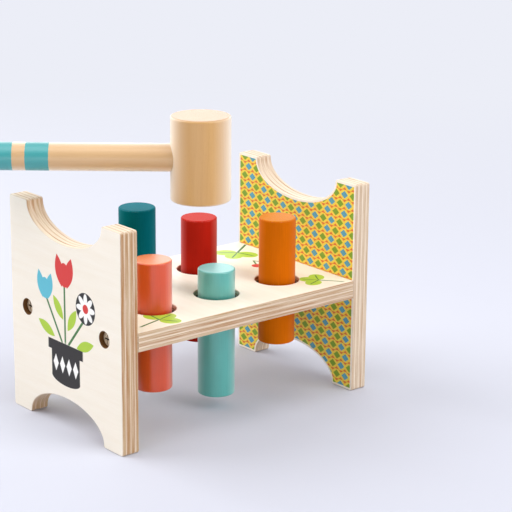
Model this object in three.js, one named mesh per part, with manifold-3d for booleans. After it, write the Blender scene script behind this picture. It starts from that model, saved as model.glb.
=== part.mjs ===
// A wooden hammering bench: two scalloped plywood end plates carry a board with five holes.
// A rubber ring in each hole grips a painted peg, which a loose mallet knocks through.
// The toy is the same both ways up, so it is turned over once every peg is down.
// Millimetres, +Z up. X runs along the bench, Y from the front to the back.

import * as THREE from 'three';
import { mergeVertices } from 'three/addons/utils/BufferGeometryUtils.js';
import Module from 'manifold-3d';

// Plywood frame
const PLATE_HEIGHT = 138;
const PLATE_THICKNESS = 12;
const TOY_DEPTH = 117;
const PRONG_WIDTH = 19.5;
const SCALLOP_DEPTH = 20;
const CORNER_RADIUS = 1.6;
const EDGE_EASE = 0.6;
const BENCH_LENGTH = 171;
const BENCH_THICKNESS = 12;

// Pegs and their holes: two staggered rows, the outer holes a set way in from the plates
const PEG_DIAMETER = 23.5;
const PEG_LENGTH = 82;
const PEG_EASE = 1.2;
const HOLE_PLAY = 2.4;
const HOLE_EASE = 0.6;
const HOLE_END_MARGIN = 36;
const ROW_SPACING = 49.5;

// How far each peg's foot hangs above the ground
const CORAL_FOOT = 24.2;
const MINT_FOOT = 9.6;
const ORANGE_FOOT = 34.3;
const DARK_TEAL_FOOT = 42.7;
const RED_FOOT = 27.9;

// Rubber grip rings, each in a groove half way down its hole
const RING_HEIGHT = 4;
const RING_BITE = 1.9;

// Screws through the plates into the ends of the board
const SCREW_SPREAD = 82;
const SCREW_LENGTH = 30;
const SCREW_SHANK = 4.6;
const SCREW_POINT = 5;
const SCREW_HEAD = 9.2;
const SCREW_HEAD_HEIGHT = 2.6;
const SCREW_HEAD_DOME = 0.7;
const COUNTERBORE_DEPTH = 5;
const CROSS_SPAN = 5.8;
const CROSS_WIDTH = 1.2;
const CROSS_DEPTH = 1.6;

// Mallet
const HEAD_DIAMETER = 37.2;
const HEAD_LENGTH = 52.6;
const HEAD_EASE = 2.5;
const HANDLE_DIAMETER = 17.3;
const HANDLE_REACH = 153;
const HANDLE_SEAT = 25;
const HANDLE_EASE = 3;
const MALLET_X = -15;
const MALLET_Y = -28;
const MALLET_TURN = THREE.MathUtils.degToRad(39.7);
const MALLET_LIFT = 0.6;

// Clearances
const JOINT_GAP = 0.3;
const GRIP_GAP = 0.3;
const SCREW_HEAD_PLAY = 0.5;

// Facets on round work
const PEG_SIDES = 40;
const HOLE_SIDES = 36;
const RING_SIDES = 28;
const RING_SECTION_SIDES = 8;
const SCREW_SIDES = 20;
const HEAD_SIDES = 48;
const HANDLE_SIDES = 32;
const CORNER_STEPS = 3;
const SCALLOP_STEPS = 22;
const BEVEL_STEPS = 2;

// Each peg's row and its place there, in pitches from the middle
const PEGS = [
  { name: 'coral', row: 'front', column: -1, foot: CORAL_FOOT, colour: 0xe8704f },
  { name: 'mint', row: 'front', column: 0, foot: MINT_FOOT, colour: 0x7cc4b8 },
  { name: 'orange', row: 'front', column: 1, foot: ORANGE_FOOT, colour: 0xe07828 },
  { name: 'dark_teal', row: 'back', column: -0.5, foot: DARK_TEAL_FOOT, colour: 0x00646c },
  { name: 'red', row: 'back', column: 0.5, foot: RED_FOOT, colour: 0xd8402c },
];

const FINISHES = {
  plywood: { color: 0xf0e6d8, roughness: 0.6, metalness: 0 },
  rubber: { color: 0x1c1c1c, roughness: 0.85, metalness: 0 },
  bronze: { color: 0x8a6238, roughness: 0.4, metalness: 0.9 },
  turnedWood: { color: 0xdcb98c, roughness: 0.55, metalness: 0 },
};
const PAINT = { roughness: 0.4, metalness: 0 };

// Values that follow from the sizes above
const BENCH_MIDDLE = PLATE_HEIGHT / 2;
const PLATE_OUTER_X = BENCH_LENGTH / 2 + PLATE_THICKNESS;
const HOLE_PITCH = BENCH_LENGTH / 2 - HOLE_END_MARGIN;
const HOLE_RADIUS = PEG_DIAMETER / 2 + HOLE_PLAY;
const RING_INNER_RADIUS = PEG_DIAMETER / 2 + GRIP_GAP;
const RING_OUTER_RADIUS = HOLE_RADIUS + RING_BITE;
const COUNTERBORE_RADIUS = SCREW_HEAD / 2 + SCREW_HEAD_PLAY;
const SCREW_SEAT_X = PLATE_OUTER_X - COUNTERBORE_DEPTH + JOINT_GAP;

const wasm = await Module();
wasm.setup();

// A closed three.js geometry as a solid that can be cut, and back again
function solid(geometry) {
  const bare = geometry.clone();
  bare.deleteAttribute('normal');
  bare.deleteAttribute('uv');
  const merged = mergeVertices(bare);
  const vertProperties = new Float32Array(merged.attributes.position.array);
  const triVerts = new Uint32Array(merged.index.array);
  return new wasm.Manifold(new wasm.Mesh({ numProp: 3, vertProperties, triVerts }));
}

function geometryOf(manifold) {
  const mesh = manifold.getMesh();
  const geometry = new THREE.BufferGeometry();
  geometry.setAttribute('position', new THREE.BufferAttribute(mesh.vertProperties, 3));
  geometry.setIndex(new THREE.BufferAttribute(mesh.triVerts, 1));
  return geometry;
}

function cut(geometry, cutters) {
  let body = solid(geometry);
  for (const cutter of cutters) body = body.subtract(solid(cutter));
  return geometryOf(body);
}

// Points of an elliptical arc, its start and end among them
function arc(x, y, radiusX, radiusY, from, to, steps) {
  const points = [];
  for (let i = 0; i <= steps; i += 1) {
    const angle = from + ((to - from) * i) / steps;
    points.push(new THREE.Vector2(x + radiusX * Math.cos(angle), y + radiusY * Math.sin(angle)));
  }
  return points;
}

// A turned piece: the profile runs up from the axis to the axis, or closes on itself
function turned(profile, sides) {
  return new THREE.LatheGeometry(profile, sides);
}

// A plain turned bar with rounded ends
function dowel(radius, length, ease, sides) {
  return turned([
    new THREE.Vector2(0, 0),
    ...arc(radius - ease, ease, ease, ease, -Math.PI / 2, 0, CORNER_STEPS),
    ...arc(radius - ease, length - ease, ease, ease, 0, Math.PI / 2, CORNER_STEPS),
    new THREE.Vector2(0, length),
  ], sides);
}

// LatheGeometry turns about Y: this stands the work up along Z
function upright(geometry) {
  return geometry.rotateX(Math.PI / 2);
}

// The same work laid along +X
function alongX(geometry) {
  return upright(geometry).rotateY(Math.PI / 2);
}

const toy = new THREE.Group();

function addPiece(name, geometry, finish, parent = toy) {
  const mesh = new THREE.Mesh(geometry, new THREE.MeshStandardMaterial(finish));
  mesh.name = name;
  parent.add(mesh);
  return mesh;
}

// End plates

// Lower half of a plate's outline, about the plate's centre: two feet with the arch between them
function halfOutline() {
  const edge = TOY_DEPTH / 2;
  const notch = edge - PRONG_WIDTH;
  const foot = -PLATE_HEIGHT / 2;
  const r = CORNER_RADIUS;
  const corner = (x, from) => arc(x, foot + r, r, r, from, from + Math.PI / 2, CORNER_STEPS);
  return [
    ...corner(-edge + r, Math.PI),
    ...corner(-notch - r, 1.5 * Math.PI),
    ...arc(0, foot + r, notch, SCALLOP_DEPTH - r, Math.PI, 0, SCALLOP_STEPS).slice(1, -1),
    ...corner(notch + r, Math.PI),
    ...corner(edge - r, 1.5 * Math.PI),
  ];
}

// A screw's point and shank, up to its seat at 0, with room all round it
function shankProfile(room) {
  return [
    new THREE.Vector2(0, -SCREW_LENGTH - room),
    new THREE.Vector2(SCREW_SHANK / 2 + room, -SCREW_LENGTH + SCREW_POINT - room),
    new THREE.Vector2(SCREW_SHANK / 2 + room, 0),
  ];
}

// What a screw needs cut away: its shank's hole and the counterbore, along X, the seat at x = 0
function screwHole() {
  const floor = -JOINT_GAP;
  const mouth = COUNTERBORE_DEPTH;
  const [point, shank] = shankProfile(JOINT_GAP);
  return alongX(turned([
    point,
    shank,
    new THREE.Vector2(shank.x, floor),
    new THREE.Vector2(COUNTERBORE_RADIUS, floor),
    new THREE.Vector2(COUNTERBORE_RADIUS, mouth),
    new THREE.Vector2(0, mouth),
  ], SCREW_SIDES));
}

// The four screws' places, as [name, end of the bench, row]
const SCREWS = [
  ['screw_left_front', -1, -1],
  ['screw_left_back', -1, 1],
  ['screw_right_front', 1, -1],
  ['screw_right_back', 1, 1],
];

function plateGeometry() {
  const half = halfOutline();
  const turnedOver = half.map((p) => new THREE.Vector2(-p.x, -p.y));
  const blank = new THREE.ExtrudeGeometry(new THREE.Shape([...half, ...turnedOver]), {
    depth: PLATE_THICKNESS - 2 * EDGE_EASE,
    bevelThickness: EDGE_EASE,
    bevelSize: EDGE_EASE,
    bevelOffset: -EDGE_EASE,
    bevelSegments: BEVEL_STEPS,
  });
  // The outline's plane becomes YZ, with the outer face at x = 0
  blank.translate(0, 0, EDGE_EASE - PLATE_THICKNESS);
  blank.rotateZ(Math.PI / 2);
  blank.rotateY(Math.PI / 2);
  const seat = SCREW_SEAT_X - PLATE_OUTER_X;
  const holes = [-1, 1].map((row) => screwHole().translate(seat, (row * SCREW_SPREAD) / 2, 0));
  return cut(blank, holes);
}

for (const [name, side] of [['left_end_plate', -1], ['right_end_plate', 1]]) {
  const plate = addPiece(name, plateGeometry(), FINISHES.plywood);
  plate.position.set(side * PLATE_OUTER_X, 0, PLATE_HEIGHT / 2);
  plate.rotation.z = side < 0 ? Math.PI : 0;
}

// Bench board

function pegPlace(peg) {
  const y = (peg.row === 'front' ? -1 : 1) * (ROW_SPACING / 2);
  return new THREE.Vector2(peg.column * HOLE_PITCH, y);
}

// A peg hole with eased rims and the ring's groove, centred in the board's thickness
function pegHole() {
  const half = BENCH_THICKNESS / 2;
  const groove = RING_HEIGHT / 2 + JOINT_GAP;
  const over = JOINT_GAP;
  const lower = [
    new THREE.Vector2(0, -half - over),
    new THREE.Vector2(HOLE_RADIUS + HOLE_EASE + over, -half - over),
    new THREE.Vector2(HOLE_RADIUS, -half + HOLE_EASE),
    new THREE.Vector2(HOLE_RADIUS, -groove),
    new THREE.Vector2(RING_OUTER_RADIUS + JOINT_GAP, -groove),
  ];
  const upper = lower.map((p) => new THREE.Vector2(p.x, -p.y)).reverse();
  return upright(turned([...lower, ...upper], HOLE_SIDES));
}

function benchGeometry() {
  const length = BENCH_LENGTH - 2 * JOINT_GAP;
  const e = EDGE_EASE;
  const y = TOY_DEPTH / 2;
  const z = BENCH_THICKNESS / 2;
  const section = new THREE.Shape([
    ...arc(y - e, -z + e, e, e, -Math.PI / 2, 0, BEVEL_STEPS),
    ...arc(y - e, z - e, e, e, 0, Math.PI / 2, BEVEL_STEPS),
    ...arc(-y + e, z - e, e, e, Math.PI / 2, Math.PI, BEVEL_STEPS),
    ...arc(-y + e, -z + e, e, e, Math.PI, 1.5 * Math.PI, BEVEL_STEPS),
  ]);
  const blank = new THREE.ExtrudeGeometry(section, { depth: length, bevelEnabled: false });
  blank.translate(0, 0, -length / 2);
  blank.rotateZ(Math.PI / 2);
  blank.rotateY(Math.PI / 2);
  const pegHoles = PEGS.map((peg) => pegHole().translate(pegPlace(peg).x, pegPlace(peg).y, 0));
  const screwHoles = SCREWS.map(([, end, row]) => {
    const hole = screwHole().rotateZ(end < 0 ? Math.PI : 0);
    return hole.translate(end * SCREW_SEAT_X, (row * SCREW_SPREAD) / 2, 0);
  });
  return cut(blank, [...pegHoles, ...screwHoles]);
}

addPiece('bench_board', benchGeometry(), FINISHES.plywood).position.z = BENCH_MIDDLE;

// Pegs and grip rings

// The ring's oval section runs from the peg to the bottom of the groove
function ringGeometry() {
  const half = (RING_OUTER_RADIUS - RING_INNER_RADIUS) / 2;
  const centre = RING_INNER_RADIUS + half;
  const section = arc(centre, 0, half, RING_HEIGHT / 2, 0, 2 * Math.PI, RING_SECTION_SIDES);
  return upright(turned(section, RING_SIDES));
}

for (const peg of PEGS) {
  const place = pegPlace(peg);
  const ring = addPiece(`grip_ring_${peg.name}`, ringGeometry(), FINISHES.rubber);
  ring.position.set(place.x, place.y, BENCH_MIDDLE);
  const bar = upright(dowel(PEG_DIAMETER / 2, PEG_LENGTH, PEG_EASE, PEG_SIDES));
  const body = addPiece(`peg_${peg.name}`, bar, { color: peg.colour, ...PAINT });
  body.position.set(place.x, place.y, peg.foot);
}

// Screws

// A domed head on a plain shank with a point, along +X, the head's seat at x = 0
function screwGeometry() {
  const head = SCREW_HEAD / 2;
  const rim = SCREW_HEAD_HEIGHT - SCREW_HEAD_DOME;
  const body = turned([
    ...shankProfile(0),
    new THREE.Vector2(head, 0),
    ...arc(0, rim, head, SCREW_HEAD_DOME, 0, Math.PI / 2, CORNER_STEPS),
  ], SCREW_SIDES);
  const over = JOINT_GAP;
  const bar = new THREE.BoxGeometry(CROSS_SPAN, CROSS_DEPTH + over, CROSS_WIDTH);
  bar.translate(0, SCREW_HEAD_HEIGHT - CROSS_DEPTH / 2 + over / 2, 0);
  return alongX(cut(body, [bar, bar.clone().rotateY(Math.PI / 2)]));
}

for (const [name, end, row] of SCREWS) {
  const screw = addPiece(name, screwGeometry(), FINISHES.bronze);
  screw.position.set(end * SCREW_SEAT_X, (row * SCREW_SPREAD) / 2, BENCH_MIDDLE);
  screw.rotation.z = end < 0 ? Math.PI : 0;
}

// Mallet: the head hangs upright with the handle level, its foot just above the plates

const mallet = new THREE.Group();
mallet.position.set(MALLET_X, MALLET_Y, PLATE_HEIGHT + MALLET_LIFT + HEAD_LENGTH / 2);
mallet.rotation.z = Math.PI - MALLET_TURN;
toy.add(mallet);

function headGeometry() {
  const blank = upright(dowel(HEAD_DIAMETER / 2, HEAD_LENGTH, HEAD_EASE, HEAD_SIDES));
  blank.translate(0, 0, -HEAD_LENGTH / 2);
  const radius = HANDLE_DIAMETER / 2 + JOINT_GAP;
  const depth = HANDLE_SEAT + 2 * JOINT_GAP;
  const hole = new THREE.CylinderGeometry(radius, radius, depth, HANDLE_SIDES);
  hole.rotateZ(Math.PI / 2);
  hole.translate(HEAD_DIAMETER / 2 + JOINT_GAP - depth / 2, 0, 0);
  return cut(blank, [hole]);
}

addPiece('mallet_head', headGeometry(), FINISHES.turnedWood, mallet);

const handleLength = HANDLE_SEAT + HANDLE_REACH;
const handleBar = alongX(dowel(HANDLE_DIAMETER / 2, handleLength, HANDLE_EASE, HANDLE_SIDES));
handleBar.translate(HEAD_DIAMETER / 2 - HANDLE_SEAT, 0, 0);
addPiece('mallet_handle', handleBar, FINISHES.turnedWood, mallet);

// The origin is on the ground under the middle of everything
const extent = new THREE.Box3().setFromObject(toy, true);
const middle = extent.getCenter(new THREE.Vector3());
toy.position.set(-middle.x, -middle.y, -extent.min.z);

export default toy;
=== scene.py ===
# %% [markdown]
# A wooden hammering bench stands on two scalloped plywood end plates. Five painted pegs sit in the holes
# of the board between them, each held by a rubber ring, and a loose mallet knocks them through. The packed
# model gives the size and place of every piece, so this lesson reads them from it, and adds what a solid
# leaves out: rounded edges, plies, grain, paint and print. Lengths are metres unless a name says otherwise.

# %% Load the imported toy
import math

import bmesh
import bpy
from mathutils import Euler, Matrix, Vector


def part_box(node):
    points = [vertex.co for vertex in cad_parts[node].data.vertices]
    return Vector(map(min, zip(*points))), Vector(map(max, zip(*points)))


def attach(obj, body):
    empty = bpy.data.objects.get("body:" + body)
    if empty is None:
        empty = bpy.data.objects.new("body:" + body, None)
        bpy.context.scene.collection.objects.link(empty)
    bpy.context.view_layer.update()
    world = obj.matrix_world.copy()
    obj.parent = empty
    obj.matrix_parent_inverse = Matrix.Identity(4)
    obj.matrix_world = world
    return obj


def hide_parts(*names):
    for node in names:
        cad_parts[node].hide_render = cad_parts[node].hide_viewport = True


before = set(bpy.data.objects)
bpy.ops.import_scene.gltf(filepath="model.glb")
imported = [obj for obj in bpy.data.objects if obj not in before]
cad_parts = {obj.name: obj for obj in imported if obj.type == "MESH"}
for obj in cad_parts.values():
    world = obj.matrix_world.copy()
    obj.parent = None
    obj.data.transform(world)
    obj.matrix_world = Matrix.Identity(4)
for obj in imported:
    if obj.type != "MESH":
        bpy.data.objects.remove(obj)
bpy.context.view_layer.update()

MM = 0.001

# %% [markdown]
# The camera stands where the photograph was taken from. Its heading, pitch and lens were worked out from
# the corners of the plates, so it needs no shift. A long lens from more than a metre away keeps the upright
# edges nearly parallel. Its place is measured from the spot on the ground below the middle of the bench,
# which the boxes of the two plates give.

# %% Camera
CAMERA_PLACE = Vector((-0.72774, -0.93855, 0.44053))
CAMERA_HEADING = math.radians(39.74)
CAMERA_PITCH = math.radians(16.28)
CAMERA_ROLL = math.radians(0.48)
CAMERA_LENS_MM = 137.39
UP = Vector((0.0, 0.0, 1.0))

left_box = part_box("left_end_plate")
right_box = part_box("right_end_plate")
bench_middle = (left_box[0] + right_box[1]) / 2
bench_ground = Vector((bench_middle.x, bench_middle.y, 0.0))

heading = Matrix.Rotation(-CAMERA_HEADING, 3, "Z")
rightward, away = heading.col[0].copy(), heading.col[1].copy()
pitched_view = heading @ Matrix.Rotation(math.pi / 2 - CAMERA_PITCH, 3, "X")
rolled_view = pitched_view @ Matrix.Rotation(CAMERA_ROLL, 3, "Z")


def link(name, data):
    """Puts a new object with the given data into the scene."""
    piece = bpy.data.objects.new(name, data)
    bpy.context.scene.collection.objects.link(piece)
    return piece


camera = link("camera", bpy.data.cameras.new("camera"))
camera.location = bench_ground + CAMERA_PLACE
camera.rotation_euler = rolled_view.to_euler()
camera.data.lens = CAMERA_LENS_MM
bpy.context.scene.camera = camera
print("camera at", [round(v, 3) for v in camera.location])

# %% [markdown]
# Shader trees are long when every node takes five lines, so short helpers keep the materials readable. One
# adds a node and fills its inputs, whether with a number or with a link. A socket knows the tree that it
# belongs to, so the next one finds the tree by itself, and the others wrap the nodes that come up most: sums,
# blends, a change of range and a stretched noise.

# %% Node helpers
MIX_A, MIX_B, MIX_COLOUR_OUT = 6, 7, 2
MIX_FLOAT_A, MIX_FLOAT_B = 2, 3


def add(tree, kind, inputs=None, **options):
    """Adds a node, sets its options, then fills or links its inputs by name or number."""
    made = tree.nodes.new(kind)
    for title, value in options.items():
        setattr(made, title, value)
    for title, value in (inputs or {}).items():
        if isinstance(value, bpy.types.NodeSocket):
            tree.links.new(value, made.inputs[title])
        else:
            made.inputs[title].default_value = value
    return made


def follow(kind, inputs, **options):
    """Adds a shader node to the tree that its linked inputs belong to."""
    tree = next(v.id_data for v in inputs.values() if isinstance(v, bpy.types.NodeSocket))
    return add(tree, "ShaderNode" + kind, inputs, **options)


def sums(operation, *values):
    """One step of arithmetic."""
    return follow("Math", dict(enumerate(values)), operation=operation).outputs[0]


def times(first, second):
    """One value times another."""
    return sums("MULTIPLY", first, second)


def swayed(base, cloud, weight):
    """A value that a noise moves up and down by the given weight."""
    return sums("MULTIPLY_ADD", sums("SUBTRACT", cloud, 0.5), weight, base)


def off_axis(x, y):
    """How far a point lies from the axis."""
    return sums("SQRT", sums("MULTIPLY_ADD", x, x, times(y, y)))


def remap(value, low, high, to_low=0.0, to_high=1.0):
    """Moves a value from one range to another and stops at its ends."""
    ends = {"From Min": low, "From Max": high, "To Min": to_low, "To Max": to_high}
    return follow("MapRange", {"Value": value, **ends}).outputs["Result"]


def blend(factor, first, second):
    """The first colour where the factor is 0, the second where it is 1."""
    inputs = {0: factor, MIX_A: first, MIX_B: second}
    return follow("Mix", inputs, data_type="RGBA").outputs[MIX_COLOUR_OUT]


def between(factor, first, second):
    """The same for plain numbers."""
    inputs = {0: factor, MIX_FLOAT_A: first, MIX_FLOAT_B: second}
    return follow("Mix", inputs, data_type="FLOAT").outputs[0]


def axes(vector):
    """The three numbers of a vector."""
    return follow("SeparateXYZ", {"Vector": vector}).outputs


def noise(place, stretch, detail=3.0, roughness=0.55):
    """Cloudy noise. A larger stretch number packs it closer along that axis."""
    stretched = follow("Mapping", {"Vector": place, "Scale": stretch}).outputs["Vector"]
    inputs = {"Vector": stretched, "Scale": 1.0, "Detail": detail, "Roughness": roughness}
    return follow("TexNoise", inputs).outputs["Fac"]


print("node helpers ready")

# %% [markdown]
# A finish starts from one Principled shader. These helpers turn the colours of a photograph into light, set
# and wire the shader's sockets, and let the light catch a fine relief.

# %% Finish helpers


def tone(red, green, blue):
    """A colour as a photograph counts it, 0 to 255, as the linear light that shaders use."""
    levels = [v / 255 for v in (red, green, blue)]
    linear = [v / 12.92 if v <= 0.04045 else ((v + 0.055) / 1.055) ** 2.4 for v in levels]
    return (*linear, 1.0)


def new_finish(name, **sockets):
    """A material and its shader, with what is the same all over set on the shader's own sockets."""
    material = bpy.data.materials.new(name)
    material.use_nodes = True
    shader = material.node_tree.nodes["Principled BSDF"]
    for title, value in sockets.items():
        shader.inputs[title.replace("_", " ")].default_value = value
    return material, shader


def wire(shader, title, value):
    """Links a value to one of the shader's sockets."""
    shader.id_data.links.new(value, shader.inputs[title])


def relief(shader, height, depth, strength=1.0):
    """Lets the light catch a height pattern, whose full range is the given depth."""
    inputs = {"Height": height, "Distance": depth, "Strength": strength}
    wire(shader, "Normal", follow("Bump", inputs).outputs["Normal"])


print("a mid grey of 128 is", round(tone(128, 128, 128)[0], 3), "in linear light")

# %% [markdown]
# The studio is a pale floor under soft light. On the round pieces in the photograph the middle is the
# deepest tone and both flanks are pale, so a narrow strip stands far round on each side, where the flanks
# mirror it, and a bright panel behind the toy, where the tops do. Softboxes on the left, on the right and
# overhead do the rest, and a low strip lights the pegs under the board. A black flag keeps the room behind
# the camera out of the paint. Far out, the floor that the camera sees fades into the backdrop, so the ground
# looks plain from every side.

# %% Floor and backdrop
FLOOR_HALF = 8.0
FLOOR_TONE = tone(198, 200, 212)
BACKDROP_TONE = tone(236, 238, 247)
FLOOR_FADE = (0.3, 1.0)
FLAG_TONE = tone(20, 20, 20)
FILL_TONE = tone(255, 253, 250)
FILL_STRENGTH = 0.4
FLAG_SIZE = (2.8, 1.9)
FLAG_DISTANCE = 2.0
MATT_CARD = {"Roughness": 0.9, "Specular_IOR_Level": 0.1}


def stage_card(name, corners, colour):
    """A flat matt card that belongs to the studio."""
    mesh = bpy.data.meshes.new(name)
    mesh.from_pydata([tuple(p) for p in corners], [], [(0, 1, 2, 3)])
    mesh.materials.append(new_finish(name, Base_Color=colour, **MATT_CARD)[0])
    card = link(name, mesh)
    return card


def seen_rays(tree):
    """1 for what the camera, a mirror or a glass sees, and 0 for light on its way to a surface."""
    rays = add(tree, "ShaderNodeLightPath").outputs
    seen = sums("MAXIMUM", rays["Is Camera Ray"], rays["Is Glossy Ray"])
    return sums("MAXIMUM", seen, rays["Is Transmission Ray"])


def studio_floor():
    sides = ((-1, -1), (1, -1), (1, 1), (-1, 1))
    floor = stage_card("studio_floor", [Vector((x, y, 0.0)) * FLOOR_HALF for x, y in sides], FLOOR_TONE)
    tree = floor.data.materials[0].node_tree
    place = add(tree, "ShaderNodeTexCoord").outputs["Object"]
    away_from_toy = add(tree, "ShaderNodeVectorMath", {0: place, 1: bench_ground}, operation="DISTANCE")
    fade = remap(away_from_toy.outputs["Value"], *FLOOR_FADE)
    glow = add(tree, "ShaderNodeEmission", {"Color": BACKDROP_TONE}).outputs[0]
    matt = tree.nodes["Principled BSDF"].outputs[0]
    both = add(tree, "ShaderNodeMixShader", {0: times(fade, seen_rays(tree)), 1: matt, 2: glow})
    tree.links.new(both.outputs[0], tree.nodes["Material Output"].inputs["Surface"])


def black_flag():
    """Stands behind the camera, and only reflections and fill light know of it."""
    foot = bench_ground - away * FLAG_DISTANCE
    side = rightward * FLAG_SIZE[0] / 2
    top = UP * FLAG_SIZE[1]
    corners = [foot - side, foot + side, foot + side + top, foot - side + top]
    stage_card("black_flag", corners, FLAG_TONE).visible_camera = False


def studio_world():
    world = bpy.data.worlds.new("studio")
    world.use_nodes = True
    tree = world.node_tree
    fill = add(tree, "ShaderNodeBackground", {"Color": FILL_TONE, "Strength": FILL_STRENGTH})
    backdrop = add(tree, "ShaderNodeBackground", {"Color": BACKDROP_TONE})
    both = add(tree, "ShaderNodeMixShader", {0: seen_rays(tree), 1: fill.outputs[0], 2: backdrop.outputs[0]})
    tree.links.new(both.outputs[0], tree.nodes["World Output"].inputs["Surface"])
    bpy.context.scene.world = world


studio_floor()
black_flag()
studio_world()
bpy.context.scene.view_settings.view_transform = "Standard"
print("floor", 2 * FLOOR_HALF, "m wide, and a flag of", FLAG_SIZE, "m")

# %% Lamps


def softbox(name, degrees_right, distance, height, size, watts):
    """A soft lamp, placed by how far it stands round to the right of the camera, and aimed at the toy."""
    angle = math.radians(degrees_right)
    side = rightward * math.sin(angle) - away * math.cos(angle)
    lamp = link(name, bpy.data.lights.new(name, "AREA"))
    lamp.data.shape = "RECTANGLE"
    lamp.data.size, lamp.data.size_y = size
    lamp.data.energy = watts
    lamp.location = bench_ground + side * distance + UP * height
    lamp.rotation_euler = (bench_middle - lamp.location).to_track_quat("-Z", "Y").to_euler()
    lamp.visible_camera = False


softbox("left_softbox", degrees_right=-98, distance=1.1, height=1.0, size=(1.0, 1.0), watts=11.5)
softbox("left_strip", degrees_right=-128, distance=1.25, height=0.6, size=(0.3, 0.9), watts=4.8)
softbox("right_softbox", degrees_right=62, distance=1.2, height=0.8, size=(0.9, 0.9), watts=10.3)
softbox("right_strip", degrees_right=128, distance=1.25, height=0.6, size=(0.3, 0.9), watts=2.0)
softbox("back_panel", degrees_right=184, distance=1.5, height=0.6, size=(2.2, 0.9), watts=11.0)
softbox("top_softbox", degrees_right=0, distance=0.35, height=1.45, size=(1.3, 0.9), watts=9.4)
softbox("front_strip", degrees_right=-8, distance=1.0, height=0.1, size=(1.2, 0.16), watts=2.5)
print("studio with", len(bpy.data.lights), "lamps")

# %% [markdown]
# This plywood is four thick plies with three thin ones between them, whose grain runs crosswise. On a cut
# edge a ply that runs towards us shows tan end grain, and its neighbour pale long grain: that is why the near
# edges have wide tan bands with thin pale lines, and the tops of the prongs the other way round. So the
# finish works out from the depth which ply a point lies in, and compares its grain with the way the surface
# faces. No two plies and no two sheets are alike: the end grain's tone drifts with the depth, and each piece
# says how tan its edges are and where in the pattern it was cut from.

# %% Birch plywood
PLY_PITCH_MM = 3.3
THIN_PLY_MM = 0.95
THIN_PLY_TAN = 0.3
PLY_WANDER = 0.1
PLY_BLUR = 0.05
STREAK_WEIGHT = 3.2
PORE_WEIGHT = 0.4
FINE_GRAIN_SHARE = 0.4
VENEER_PALE = tone(247, 239, 225)
VENEER_WARM = tone(243, 233, 216)
LONG_GRAIN = tone(234, 219, 199)
END_GRAIN_DEEP = tone(168, 118, 70)
END_GRAIN_PALE = tone(186, 152, 112)
DRIFT_RANGE = (0.36, 0.64)
EDGE_SHADE_RANGE = (-0.2, 1.4)
VENEER_RANGE = (0.36, 0.68)
FACE_RANGE = (0.74, 0.97)
EDGE_ROUGHNESS = 0.62
FACE_ROUGHNESS = 0.44
EDGE_HEIGHT = 0.5
FACE_HEIGHT = 0.12


def plywood_group():
    """Colour, roughness and height of plywood. X of Place is along the face grain, Z through the sheet."""
    group = bpy.data.node_groups.new("birch_plywood", "ShaderNodeTree")
    for title in ("Place", "Facing", "Cut From"):
        group.interface.new_socket(title, in_out="INPUT", socket_type="NodeSocketVector")
    group.interface.new_socket("Tan", in_out="INPUT", socket_type="NodeSocketFloat")
    for title, kind in (("Colour", "Color"), ("Roughness", "Float"), ("Height", "Float")):
        group.interface.new_socket(title, in_out="OUTPUT", socket_type="NodeSocket" + kind)
    entry = add(group, "NodeGroupInput").outputs
    facing = axes(entry["Facing"])
    along, across, through = (times(facing[axis], facing[axis]) for axis in "XYZ")
    crosswise = sums("MULTIPLY_ADD", across, 1.0 - THIN_PLY_TAN, THIN_PLY_TAN)
    moved = {0: entry["Place"], 1: entry["Cut From"]}
    place = follow("VectorMath", moved, operation="ADD").outputs["Vector"]

    wander = noise(place, (0.05, 0.05, 0.02), detail=2.0)
    depth = sums("DIVIDE", axes(entry["Place"])["Z"], PLY_PITCH_MM)
    level = swayed(depth, wander, PLY_WANDER)
    off_thin = sums("ABSOLUTE", sums("SUBTRACT", level, sums("ROUND", level)))
    thin_half = THIN_PLY_MM / PLY_PITCH_MM / 2
    thin = remap(off_thin, thin_half + PLY_BLUR, thin_half - PLY_BLUR)

    drift = noise(place, (0.008, 0.008, 0.4), detail=1.0)
    streak = noise(place, (0.03, 0.03, 1.7), detail=5.0, roughness=0.65)
    pores = noise(place, (2.6, 2.6, 2.6), detail=2.0)
    shade = sums("MULTIPLY_ADD", along, entry["Tan"], between(thin, along, crosswise))
    shade = swayed(swayed(shade, streak, STREAK_WEIGHT), pores, PORE_WEIGHT)
    end_grain = blend(remap(drift, *DRIFT_RANGE), END_GRAIN_DEEP, END_GRAIN_PALE)
    edge = blend(remap(shade, *EDGE_SHADE_RANGE), LONG_GRAIN, end_grain)

    broad = noise(place, (0.014, 0.2, 0.2))
    fine = noise(place, (0.09, 2.4, 1.0), detail=4.0)
    veneer = between(FINE_GRAIN_SHARE, broad, fine)
    face = blend(remap(veneer, *VENEER_RANGE), VENEER_PALE, VENEER_WARM)

    is_face = remap(through, *FACE_RANGE)
    rough_edge = swayed(swayed(0.0, streak, EDGE_HEIGHT), pores, EDGE_HEIGHT)
    smooth_face = swayed(0.0, fine, FACE_HEIGHT)
    results = {"Colour": blend(is_face, edge, face)}
    results["Roughness"] = between(is_face, EDGE_ROUGHNESS, FACE_ROUGHNESS)
    results["Height"] = between(is_face, rough_edge, smooth_face)
    add(group, "NodeGroupOutput", results)
    return group


birch = plywood_group()
print("plywood with a thin ply every", PLY_PITCH_MM, "mm in", len(birch.nodes), "nodes")

# %% [markdown]
# The prints on the wood are flat shapes in a few inks. A picture file would do, but a shape can also be a
# rule: a point is inside an ellipse when its place, divided by the half sizes, is less than 1 from the
# middle. With other sums the same rule gives a leaf, a diamond or a block, so each shape is one short line
# that says its kind, place, size, turn and ink. Places and sizes on a face are in millimetres.

# %% Printed shapes
INK_EDGE_MM = 0.18


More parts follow.
